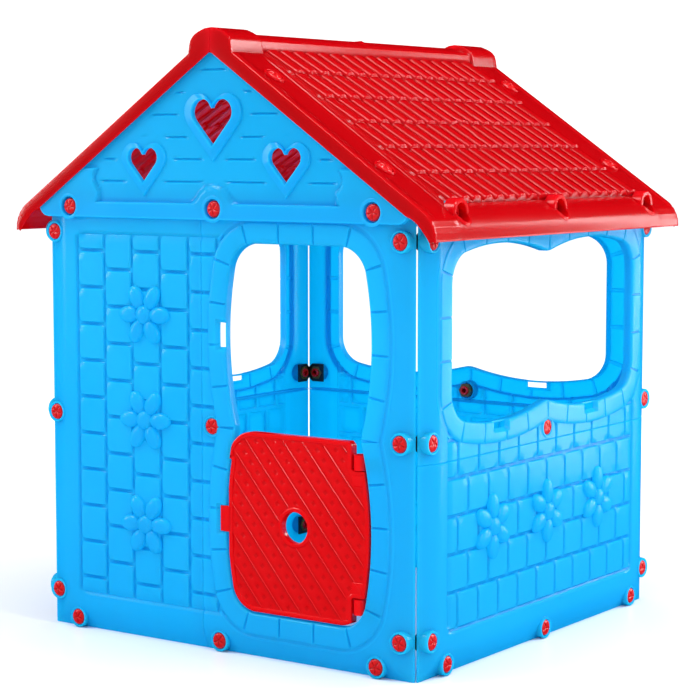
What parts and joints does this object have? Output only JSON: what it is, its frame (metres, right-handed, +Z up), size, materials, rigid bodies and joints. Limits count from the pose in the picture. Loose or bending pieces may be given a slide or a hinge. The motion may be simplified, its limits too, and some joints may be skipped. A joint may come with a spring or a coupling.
{
  "type": "playhouse",
  "caption": "Child's moulded plastic playhouse with a pitched tiled roof, open windows, heart cut-outs in both gables and a hinged half door.",
  "frame": {"origin": "on the floor under the middle of the house", "axes": "+Z up, the door gable faces -Y, the ridge of the roof runs along Y"},
  "size_m": [1.01, 0.963, 1.2],
  "materials": {
    "blue_plastic": "moulded, glossy, lets some light through",
    "red_plastic": "moulded, glossy",
    "connector_plastic": "moulded, satin black",
    "nut_plastic": "moulded, dark olive brown",
    "screw_steel": "zinc plated"
  },
  "bodies": {
    "house": {"brick_panel_back": "blue_plastic", "brick_panel_front": "blue_plastic", "brick_panel_left": "blue_plastic", "brick_panel_right": "blue_plastic", "connector_back_left_low": "connector_plastic", "connector_back_left_middle": "connector_plastic", "connector_back_left_top": "connector_plastic", "connector_back_right_low": "connector_plastic", "connector_back_right_middle": "connector_plastic", "connector_back_right_top": "connector_plastic", "connector_front_left_low": "connector_plastic", "connector_front_left_middle": "connector_plastic", "connector_front_left_top": "connector_plastic", "connector_front_right_low": "connector_plastic", "connector_front_right_middle": "connector_plastic", "connector_front_right_top": "connector_plastic", "corner_back_left_bolts": "red_plastic", "corner_back_left_nuts": "nut_plastic", "corner_back_right_bolts": "red_plastic", "corner_back_right_nuts": "nut_plastic", "corner_front_left_bolts": "red_plastic", "corner_front_left_nuts": "nut_plastic", "corner_front_right_bolts": "red_plastic", "corner_front_right_nuts": "nut_plastic", "door_frame_panel": "blue_plastic", "eave_left_bolts": "red_plastic", "eave_left_nuts": "nut_plastic", "eave_right_bolts": "red_plastic", "eave_right_nuts": "nut_plastic", "gable_back": "blue_plastic", "gable_back_bolts": "red_plastic", "gable_back_nuts": "nut_plastic", "gable_front": "blue_plastic", "gable_front_bolts": "red_plastic", "gable_front_nuts": "nut_plastic", "hinge_bracket_lower": "red_plastic", "hinge_bracket_upper": "red_plastic", "hinge_screws": "screw_steel", "rail_bolts": "red_plastic", "rail_nuts": "nut_plastic", "ridge_nuts": "screw_steel", "ridge_screws": "screw_steel", "roof_left": "red_plastic", "roof_left_bolts": "red_plastic", "roof_left_nuts": "nut_plastic", "roof_right": "red_plastic", "roof_right_bolts": "red_plastic", "roof_right_nuts": "nut_plastic", "seam_bolts": "red_plastic", "seam_nuts": "nut_plastic", "window_panel_back": "blue_plastic", "window_panel_left": "blue_plastic", "window_panel_right": "blue_plastic"},
    "door": {"half_door": "red_plastic"}
  },
  "joints": [
    {"name": "door_hinge", "type": "hinge", "parent": "house", "child": "door", "pos_m": [0.326, -0.452, 0.2635], "axis": [0, 0, 1], "range_deg": [0, 100]}
  ]
}
